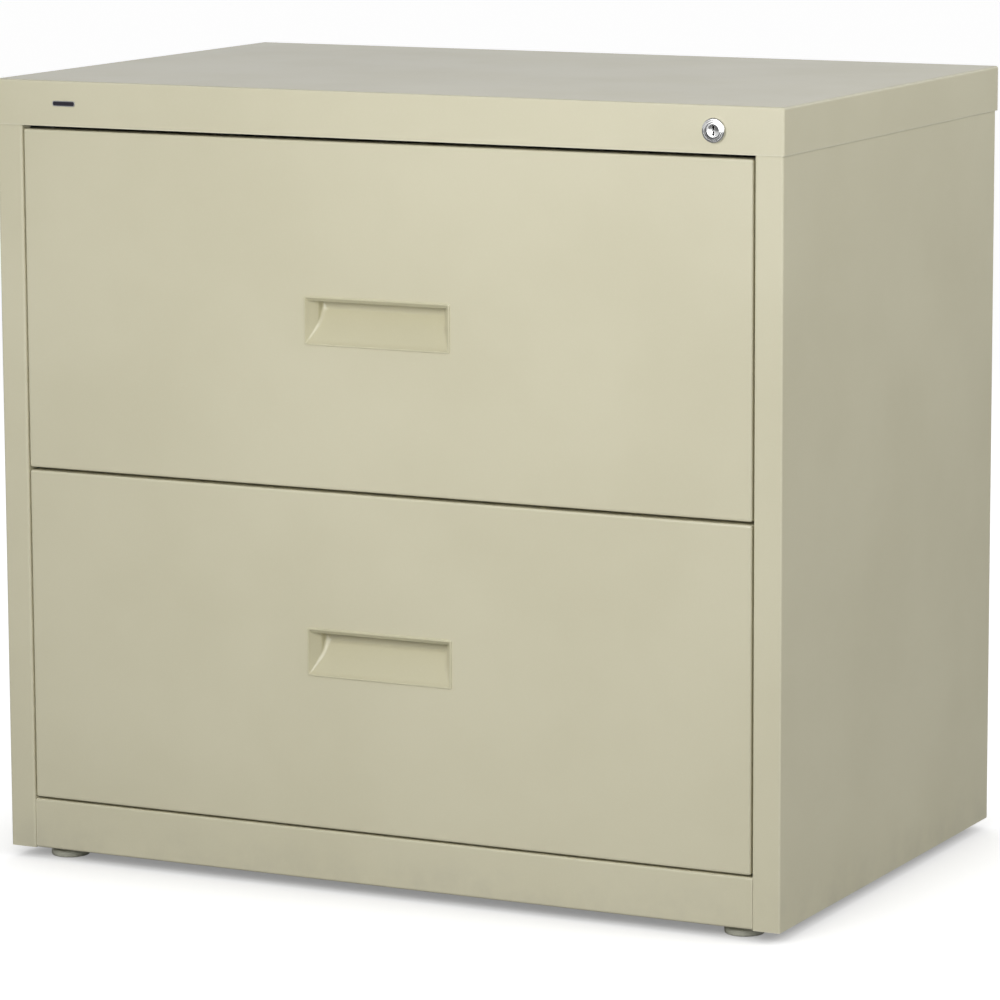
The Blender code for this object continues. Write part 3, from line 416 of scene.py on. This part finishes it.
def cup_rings(mesh, middle, face, wall):
    """Rings down the inside of the cup, or its outside when wall is the wall's thickness."""
    sill = PULL_HALF_HEIGHT - RIM_WIDTH
    opening = PULL_HALF_HEIGHT - RIM_TOP_WIDTH
    rings = []
    depths = [PULL_DEPTH * sin(pi / 2 * step / 18) for step in range(1, 19)]
    for depth in sorted(depths + [PULL_LIP]):
        scoop = SCOOP_TOP - (SCOOP_TOP + sill) * (1 - depth / PULL_DEPTH) ** SCOOP_BEND
        rounding = max(0, depth - (PULL_DEPTH - CUP_FLOOR_EDGE)) / CUP_FLOOR_EDGE
        inset = CUP_FLOOR_EDGE * (1 - sqrt(1 - min(rounding, 1) ** 2))
        bevel = min(depth, PULL_BEVEL)
        half_width = (PULL_HALF_WIDTH - RIM_WIDTH - PULL_BEVEL_LEAN * bevel
                      - PULL_LEAN * (depth - bevel) - inset + wall)
        roof = opening + FINGER_SPACE - inset
        tops = [opening] if depth < PULL_LIP else [roof]
        if depth == PULL_LIP:
            tops = [opening, opening + 0.4 * MM, roof - 0.6 * MM, roof]
        for top in tops:
            radius = 1.0 * MM
            room = (top - scoop + 2 * wall) / 2
            low_radius = min(radius + SCOOP_CORNER * depth / PULL_DEPTH, room)
            rings.append(rounded_ring(mesh, half_width, middle + scoop - wall,
                                      middle + top + wall, radius, face + depth + wall * 0.7,
                                      low_radius))
    return rings


def add_piece(name, mesh, material, body, slot, *replaced, crease=35):
    """Closes a piece: normals out, smooth but for its sharp edges, riding on its body."""
    bmesh.ops.recalc_face_normals(mesh, faces=mesh.faces)
    data = bpy.data.meshes.new(name)
    mesh.to_mesh(data)
    mesh.free()
    return add_mesh(name, data, material, body, slot, *replaced, crease=crease)


def add_mesh(name, data, material, body, slot, *replaced, crease=35):
    data.materials.clear()
    data.materials.append(material)
    for polygon in data.polygons:
        polygon.use_smooth = True
    data.set_sharp_from_angle(angle=radians(crease))
    item = bpy.data.objects.new(name, data)
    scene.collection.objects.link(item)
    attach(item, body)
    if replaced:
        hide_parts(*replaced)
    return item


for drawer in ("upper", "lower"):
    low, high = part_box(f"{drawer}_pull")
    middle = low.z + PULL_HALF_HEIGHT
    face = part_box(f"{drawer}_drawer_front")[0].y
    mesh = bmesh.new()
    rings = cup_rings(mesh, middle, face, PULL_WALL)[::-1]
    for inwards, proud in RIM_SECTION:
        inwards *= MM
        rings.append(rounded_ring(mesh, PULL_HALF_WIDTH - inwards,
                                  middle - PULL_HALF_HEIGHT + inwards,
                                  middle + PULL_HALF_HEIGHT - inwards,
                                  max(2.0 * MM - inwards, 1.3 * MM), face - proud * MM))
    rings += cup_rings(mesh, middle, face, 0)
    bridge(mesh, rings)
    paint = powder_coat(f"{drawer}_pull_paint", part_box(f"{drawer}_pull"), PULL_TONE_WITH_PAINTED_SHADE, PULL_DARK_WITH_PAINTED_SHADE,
                        dull=-0.03, rub_and_highlight_share=0.1)
    add_piece(f"{drawer}_pull_moulding", mesh, paint, f"{drawer}_drawer", "putty_powder_coat",
              f"{drawer}_pull", crease=28)


# --- Lock --------------------------------------------------------------------------------------
# Cylinder lock at the right of the cap: a chromed housing with a turned face, clamped from behind
# by its nut, and a plug with a keyway that turns in it.

def chrome_plate(name, painted_shade_from=None):
    """Bright nickel-chrome plate with the fine wipes that keys and cloths leave.

    Deeper than the given depth in y, it is painted near black, as painted shade in the keyway.
    """
    finish = Finish(name)
    wipes = finish.noise(320, 3, 0.6, (1, 1, 0.3))
    metal = finish.mix(wipes, (0.84, 0.84, 0.83), (0.68, 0.69, 0.70))
    if painted_shade_from is not None:
        # painted shade: near black deeper in y, for the keyway's recess
        depth = finish.along()[1].rise(painted_shade_from, painted_shade_from + 0.3 * MM)
        metal = finish.mix(depth, metal, (0.02, 0.02, 0.018))
    return finish.close(
        Base_Color=metal,
        Metallic=1.0,
        Roughness=0.12 + wipes * 0.16,
        Normal=finish.bump(wipes, 0.02 * MM, 0.4))


def lathe(mesh, section, place, axis, steps=48, ring_shaped=False):
    """Turns a (radius, along) section about the axis through place; radius 0 closes on it."""
    rings = []
    for radius, along in section:
        ring = []
        for step in range(steps):
            angle = 2 * pi * step / steps
            spot = (radius * cos(angle), radius * sin(angle), along)
            if axis == "Y":
                spot = (spot[0], spot[2], spot[1])
            ring.append(spot)
        if radius == 0:
            ring = ring[:1]
        rings.append([mesh.verts.new(Vector(place) + Vector(spot)) for spot in ring])
    pairs = list(zip(rings, rings[1:] + rings[:1]))
    if not ring_shaped:
        pairs.pop()
    for first, second in pairs:
        for step in range(steps):
            corners = [first[step % len(first)], first[(step - 1) % len(first)],
                       second[(step - 1) % len(second)], second[step % len(second)]]
            mesh.faces.new(list(dict.fromkeys(corners)))


lock_low, lock_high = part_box("lock_housing")
LOCK_NOSE = lock_low.y
lock_axis = ((lock_low.x + lock_high.x) / 2, 0, (lock_low.z + lock_high.z) / 2)
chrome = chrome_plate("chrome")
KEYWAY_PAINTED_SHADE_FROM = 1.1 * MM     # behind the nose
plug_chrome = chrome_plate("plug_chrome", LOCK_NOSE + KEYWAY_PAINTED_SHADE_FROM)

# (radius, behind the nose), from the bore outwards round the collar to the barrel
COLLAR_SECTION = ((6.8, 0.55), (6.8, 0.2), (7.0, 0.0), (8.1, 0.0), (8.3, 0.1), (8.4, 0.45),
                  (8.75, 0.45), (8.85, 0.15), (9.0, 0.05), (9.5, 0.1), (9.95, 0.28),
                  (10.3, 0.6), (10.5, 1.1), (10.5, 2.5), (9.3, 2.5), (9.3, 18.8), (6.8, 18.8))
mesh = bmesh.new()
lathe(mesh, [(radius * MM, LOCK_NOSE + back * MM) for radius, back in COLLAR_SECTION],
      lock_axis, "Y", ring_shaped=True)
add_piece("lock_collar", mesh, chrome, "root", "chrome", "lock_housing")

PLUG_SECTION = ((0, 0.8), (4.4, 0.8), (4.7, 0.7), (4.9, 0.35), (5.2, 0.3), (6.1, 0.3),
                (6.4, 0.4), (6.5, 0.7), (6.5, 23.4), (4.0, 23.4), (4.0, 27.5), (0, 27.5))
KEYWAY = ((-0.9, -4.3), (0.5, -4.3), (0.9, -3.6), (0.9, -1.2), (0.2, -0.7), (0.2, 0.4),
          (0.9, 0.9), (0.9, 4.0), (0.3, 4.3), (-0.9, 4.3), (-0.9, 2.2), (-0.35, 1.8),
          (-0.35, -2.0), (-0.9, -2.4))
KEYWAY_DEPTH = 7 * MM
mesh = bmesh.new()
lathe(mesh, [(radius * MM, LOCK_NOSE + back * MM) for radius, back in PLUG_SECTION],
      lock_axis, "Y")
bmesh.ops.recalc_face_normals(mesh, faces=mesh.faces)
plug_data = bpy.data.meshes.new("lock_plug_blank")
mesh.to_mesh(plug_data)
mesh.free()
mesh = bmesh.new()
ends = [[mesh.verts.new((lock_axis[0] + x * MM, LOCK_NOSE + y, lock_axis[2] + z * MM))
         for x, z in KEYWAY] for y in (-1 * MM, KEYWAY_DEPTH)]
bridge(mesh, ends)
bmesh.ops.recalc_face_normals(mesh, faces=mesh.faces)
cutter_data = bpy.data.meshes.new("keyway")
mesh.to_mesh(cutter_data)
mesh.free()


def cut(name, blank, tool):
    """The first mesh less the second."""
    items = [bpy.data.objects.new(part, data) for part, data in ((name, blank), ("tool", tool))]
    for item in items:
        scene.collection.objects.link(item)
    boolean = items[0].modifiers.new("cut", "BOOLEAN")
    boolean.operation = "DIFFERENCE"
    boolean.solver = "EXACT"
    boolean.object = items[1]
    graph = bpy.context.evaluated_depsgraph_get()
    result = bpy.data.meshes.new_from_object(items[0].evaluated_get(graph))
    for item in items:
        bpy.data.objects.remove(item)
    return result


add_mesh("lock_plug_face", cut("lock_plug_blank", plug_data, cutter_data), plug_chrome, "lock_core",
         "chrome", "lock_plug")


# --- Glides ------------------------------------------------------------------------------------
# Four levelling feet: an ivory moulded disc on a zinc plated M8 stud that screws through the
# floor of the case, so that each one turns down on its own.

def moulded_plastic(name, colour):
    """Moulded plastic with soft flow marks, scuffed near the floor."""
    finish = Finish(name)
    flow = finish.noise(45, 3)
    fine = finish.noise(900, 2)
    scuff = (1 - finish.along()[2].rise(0.5 * MM, 4 * MM)) * finish.noise(300, 3).rise(0.4, 0.7)
    base = finish.mix(flow, colour, tuple(0.88 * tone for tone in colour))
    return finish.close(
        Base_Color=finish.mix(scuff * 0.5, base, (0.30, 0.29, 0.25)),
        Roughness=0.40 + fine * 0.12 + scuff * 0.15,
        Normal=finish.bump(fine + flow, 0.05 * MM, 0.5))


FOOT_SECTION = ((0, 0.0), (15.6, 0.0), (16.8, 0.35), (17.35, 1.0), (17.5, 2.0), (17.5, 4.0),
                (17.3, 4.9), (16.7, 5.7), (15.8, 6.2), (14.5, 6.45), (9.2, 6.7), (8.3, 7.1),
                (8.0, 7.8), (8.0, 10.5), (7.6, 11.0), (0, 11.0))
STUD_RADIUS = 4.0 * MM
STUD_BOTTOM = 11.0 * MM
STUD_TOP = 41.5 * MM
THREAD_PITCH = 1.25 * MM
THREAD_DEPTH = 0.65 * MM
THREAD_STEPS = 24
THREAD_LAYERS = 6               # rings for each turn of the thread


def threaded_stud(mesh, x, y, bottom, top):
    """Rod whose surface winds in and out along a helix."""
    rise = THREAD_PITCH / THREAD_LAYERS
    count = int((top - bottom) / rise)
    rings = []
    for layer in range(count + 1):
        z = bottom + (top - bottom) * layer / count
        taper = min(1, (top - z) / (1.2 * MM) + 0.62)
        ring = []
        for step in range(THREAD_STEPS):
            angle = 2 * pi * step / THREAD_STEPS
            phase = (z / THREAD_PITCH - step / THREAD_STEPS) % 1
            radius = (STUD_RADIUS - THREAD_DEPTH * abs(2 * phase - 1)) * taper
            ring.append(mesh.verts.new((x + radius * cos(angle), y + radius * sin(angle), z)))
        rings.append(ring)
    bridge(mesh, rings)


ivory = moulded_plastic("ivory_plastic", (0.60, 0.60, 0.49))
for corner in ("front_left", "front_right", "rear_left", "rear_right"):
    low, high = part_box(f"{corner}_glide")
    x, y = (low.x + high.x) / 2, (low.y + high.y) / 2
    mesh = bmesh.new()
    lathe(mesh, [(radius * MM, height * MM) for radius, height in FOOT_SECTION], (x, y, 0), "Z")
    add_piece(f"{corner}_glide_foot", mesh, ivory, f"{corner}_glide", "ivory_plastic",
              f"{corner}_glide", crease=40)
    mesh = bmesh.new()
    threaded_stud(mesh, x, y, STUD_BOTTOM, STUD_TOP)
    add_piece(f"{corner}_glide_stud", mesh, zinc_up, f"{corner}_glide", "zinc_plated_steel")


# --- Ball rows ---------------------------------------------------------------------------------
# Hardened balls between the members of a slide, two rows in each cage. A ball runs in its own
# hole in the cage and moves with it.

class Recipe(NodeTree):
    """A Geometry Nodes tree with named inputs, which ends in realized, finished geometry."""

    def __init__(self, name, **inputs):
        tree = bpy.data.node_groups.new(name, "GeometryNodeTree")
        super().__init__(tree, "Geometry")
        tree.interface.new_socket("Geometry", in_out="INPUT",
                                  socket_type="NodeSocketGeometry")
        for label, kind in inputs.items():
            tree.interface.new_socket(label.replace("_", " "), in_out="INPUT",
                                      socket_type=f"NodeSocket{kind}")
        tree.interface.new_socket("Geometry", in_out="OUTPUT",
                                  socket_type="NodeSocketGeometry")
        self.given = tree.nodes.new("NodeGroupInput")

    def input(self, name):
        return Socket(self, self.given.outputs[name])

    def end(self, instances):
        whole = self.node("RealizeInstances", {"Geometry": instances})
        coated = self.node("SetMaterial", {"Geometry": whole, "Material": self.input("Finish")})
        self.node("NodeGroupOutput", {"Geometry": coated})


def grow(name, recipe, places, body, slot, facings=(), **inputs):
    """Runs a recipe on points, and keeps what it makes as one plain mesh riding on its body."""
    points = bpy.data.meshes.new(name)
    points.from_pydata([tuple(place) for place in places], [], [])
    if facings:
        facing = points.attributes.new("facing", "FLOAT_VECTOR", "POINT")
        facing.data.foreach_set("vector", [number for way in facings for number in way])
    item = bpy.data.objects.new(name, points)
    scene.collection.objects.link(item)
    modifier = item.modifiers.new("grow", "NODES")
    modifier.node_group = recipe.tree
    for socket in recipe.tree.interface.items_tree:
        value = inputs.get(socket.name.replace(" ", "_"))
        if value is not None and socket.in_out == "INPUT":
            modifier[socket.identifier] = value
    graph = bpy.context.evaluated_depsgraph_get()
    made = bpy.data.meshes.new_from_object(item.evaluated_get(graph))
    item.modifiers.clear()
    item.data = made
    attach(item, body)
    return item


ball_rows = Recipe("ball_rows", Count="Int", Pitch="Vector", Radius="Float", Finish="Material")
row = ball_rows.node("MeshLine", {"Count": ball_rows.input("Count"),
                                  "Offset": ball_rows.input("Pitch")})
rows = ball_rows.node("InstanceOnPoints", {"Points": ball_rows.input("Geometry"),
                                           "Instance": row})
spots = ball_rows.node("RealizeInstances", {"Geometry": rows})
ball = ball_rows.node("MeshIcoSphere", {"Radius": ball_rows.input("Radius"), "Subdivisions": 2})
ball = ball_rows.node("SetShadeSmooth", {"Geometry": ball, "Shade Smooth": True})
ball_rows.end(ball_rows.node("InstanceOnPoints", {"Points": spots, "Instance": ball}))

BALL_RADIUS = 1.5 * MM
BALL_PITCH = 14 * MM
BALLS_IN_ROW = 12
OUTER_ROWS_APART = 1.6 * MM     # beyond the middle member's edges
INNER_ROWS_INSIDE = 3.1 * MM    # within them
bearing = Finish("bearing_steel")
polish = bearing.noise(500, 2)
bearing_steel = bearing.close(
    Base_Color=bearing.mix(polish, (0.66, 0.66, 0.66), (0.50, 0.50, 0.51)),
    Metallic=1.0,
    Roughness=0.12 + polish * 0.1)
for drawer in ("upper", "lower"):
    for side in ("left", "right"):
        slide = f"{drawer}_{side}"
        middle_low, middle_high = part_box(f"{slide}_middle_member")
        for cage, gap in (("outer", OUTER_ROWS_APART), ("inner", -INNER_ROWS_INSIDE)):
            low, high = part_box(f"{slide}_{cage}_cage")
            start = (low.y + high.y - BALL_PITCH * (BALLS_IN_ROW - 1)) / 2
            rows = [((low.x + high.x) / 2, start, middle_low.z - gap),
                    ((low.x + high.x) / 2, start, middle_high.z + gap)]
            grow(f"{slide}_{cage}_balls", ball_rows, rows, f"{slide}_{cage}_cage",
                 "zinc_plated_steel", Count=BALLS_IN_ROW, Pitch=(0, BALL_PITCH, 0),
                 Radius=BALL_RADIUS, Finish=bearing_steel)


# --- Screws and rivets -------------------------------------------------------------------------
# Zinc plated hex washer-head screws hold the back and the floor's weight, and pop rivets hold
# the slides to the drawers' sides.

def screw_head():
    """Hexagon with a washer under it and a chamfer on top, standing up along Z."""
    mesh = bmesh.new()
    rings = []
    for radius, height, flat in ((4.9, 0, 0), (5.1, 0.25, 0), (4.9, 0.75, 0), (4.1, 0.85, 1),
                                 (4.1, 2.1, 1), (3.4, 2.45, 0), (2.2, 2.45, 0),
                                 (1.8, 2.15, 0)):
        ring = []
        for step in range(18):
            angle = 2 * pi * step / 18
            reach = radius * MM
            if flat:
                reach *= cos(pi / 6) / cos((angle + pi / 6) % (pi / 3) - pi / 6)
            ring.append(mesh.verts.new((reach * cos(angle), reach * sin(angle), height * MM)))
        rings.append(ring)
    bridge(mesh, rings)
    return mesh


def rivet_head():
    """Domed rivet with the dimple its mandrel leaves."""
    mesh = bmesh.new()
    section = ((0, 0), (3.2, 0), (3.15, 0.3), (2.7, 0.75), (1.9, 1.05), (1.1, 1.15),
               (0.9, 0.7), (0, 0.7))
    lathe(mesh, [(radius * MM, height * MM) for radius, height in section], (0, 0, 0), "Z", 14)
    return mesh


def head_object(name, mesh):
    """A head to be copied onto points; it isn't shown itself."""
    bmesh.ops.recalc_face_normals(mesh, faces=mesh.faces)
    data = bpy.data.meshes.new(name)
    mesh.to_mesh(data)
    mesh.free()
    for polygon in data.polygons:
        polygon.use_smooth = True
    data.set_sharp_from_angle(angle=radians(40))
    return bpy.data.objects.new(name, data)


fasteners = Recipe("fasteners", Head="Object", Size="Float", Seed="Int", Finish="Material")
shape = fasteners.node("ObjectInfo", {"Object": fasteners.input("Head")}, output="Geometry")
facing = fasteners.node("InputNamedAttribute", {"Name": "facing"}, data_type="FLOAT_VECTOR")
aligned = fasteners.node("FunctionNodeAlignRotationToVector", {"Vector": facing}, axis="Z")
spin = fasteners.node("FunctionNodeRandomValue", {2: 0.0, 3: 2 * pi,
                                                 "Seed": fasteners.input("Seed")},
                      output=1, data_type="FLOAT")
turned = fasteners.node("FunctionNodeAxisAngleToRotation", {"Axis": (0, 0, 1), "Angle": spin})
turned = fasteners.node("FunctionNodeRotateRotation",
                        {"Rotation": aligned, "Rotate By": turned}, rotation_space="LOCAL")
fasteners.end(fasteners.node("InstanceOnPoints", {
    "Points": fasteners.input("Geometry"), "Instance": shape, "Rotation": turned,
    "Scale": fasteners.input("Size")}))

BACK_SCREW_SHARES = (0.05, 0.23, 0.41, 0.59, 0.77, 0.93)    # of the back panel's height
BACK_SCREW_FROM_SIDE = 5 * MM
WEIGHT_SCREW_SIZE = 1.7
WEIGHT_SCREWS_X = (-0.28, -0.1, 0.1, 0.28)
DRAWER_SHEET = 0.9 * MM
RIVET_SIZE = 1.25
RIVETS_Y = (-0.19, -0.06, 0.07, 0.195)

screw = head_object("hex_screw", screw_head())
rivet = head_object("pop_rivet", rivet_head())

back_low, back_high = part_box("back_panel")
rear_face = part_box("right_side_panel")[1].y
rows = [back_low.z + (back_high.z - back_low.z) * share for share in BACK_SCREW_SHARES]
places = [(side * (back_high.x - BACK_SCREW_FROM_SIDE), rear_face, z)
          for side in (-1, 1) for z in rows]
grow("back_screws", fasteners, places, "root", "zinc_plated_steel", [(0, 1, 0)] * len(places),
     Head=screw, Size=1.0, Seed=3, Finish=zinc_up)

weight_low, weight_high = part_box("counterweight")
places = [(x, (weight_low.y + weight_high.y) / 2, weight_high.z) for x in WEIGHT_SCREWS_X]
grow("weight_screws", fasteners, places, "root", "zinc_plated_steel",
     [(0, 0, 1)] * len(places), Head=screw, Size=WEIGHT_SCREW_SIZE, Seed=5, Finish=zinc_up)

for drawer in ("upper", "lower"):
    low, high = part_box(f"{drawer}_drawer_body")
    slide_low, slide_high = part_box(f"{drawer}_right_drawer_member")
    height = (slide_low.z + slide_high.z) / 2
    places, facings = [], []
    for side in (-1, 1):
        inner = side * (high.x - DRAWER_SHEET)
        for y in RIVETS_Y:
            places.append((inner, y, height))
            facings.append((-side, 0, 0))
    grow(f"{drawer}_slide_rivets", fasteners, places, f"{drawer}_drawer", "zinc_plated_steel",
         facings, Head=rivet, Size=RIVET_SIZE, Seed=7, Finish=zinc_up)


# --- Name plate --------------------------------------------------------------------------------
# Small blank plate stuck on the cap's front at the left: satin metal with a plain dark inlay.

PLATE_FROM_SIDE = 71.5 * MM
PLATE_HALF_WIDTH = 11.5 * MM
PLATE_HALF_HEIGHT = 2.5 * MM
PLATE_ABOVE_LOCK = 0.8 * MM
INLAY_INSET = 0.7 * MM
cap_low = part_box("top_cap")[0]
plate_x = cap_low.x + PLATE_FROM_SIDE
plate_z = (lock_low.z + lock_high.z) / 2 + PLATE_ABOVE_LOCK


def plate(name, half_width, half_height, back, front, material, slot):
    """Small raised plate with rounded ends on the cap's front."""
    mesh = bmesh.new()
    rings = []
    for inset, y in ((0, back), (0, front + 0.15 * MM), (0.15 * MM, front), (0.6 * MM, front)):
        ring = rounded_ring(mesh, half_width - inset, plate_z - half_height + inset,
                            plate_z + half_height - inset, (half_height - inset) * 0.8, y)
        for vert in ring:
            vert.co.x += plate_x
        rings.append(ring)
    bridge(mesh, rings)
    return add_piece(name, mesh, material, "root", slot)


brushed = Finish("satin_metal")
lines = brushed.noise(900, 2, 0.5, (0.05, 1, 1))
satin = brushed.close(
    Base_Color=brushed.mix(lines, (0.66, 0.67, 0.66), (0.56, 0.57, 0.57)),
    Metallic=1.0,
    Roughness=0.28 + lines * 0.15)
inlay = Finish("dark_inlay")
speckle = inlay.noise(700, 2)
enamel = inlay.close(
    Base_Color=inlay.mix(speckle, (0.012, 0.010, 0.020), (0.025, 0.022, 0.035)),
    Roughness=0.3 + speckle * 0.15)
plate("cap_plate", PLATE_HALF_WIDTH, PLATE_HALF_HEIGHT, cap_low.y, cap_low.y - 0.45 * MM, satin,
      "chrome")
plate("cap_plate_inlay", PLATE_HALF_WIDTH - INLAY_INSET, PLATE_HALF_HEIGHT - INLAY_INSET,
      cap_low.y - 0.4 * MM, cap_low.y - 0.55 * MM, enamel, "black_steel")
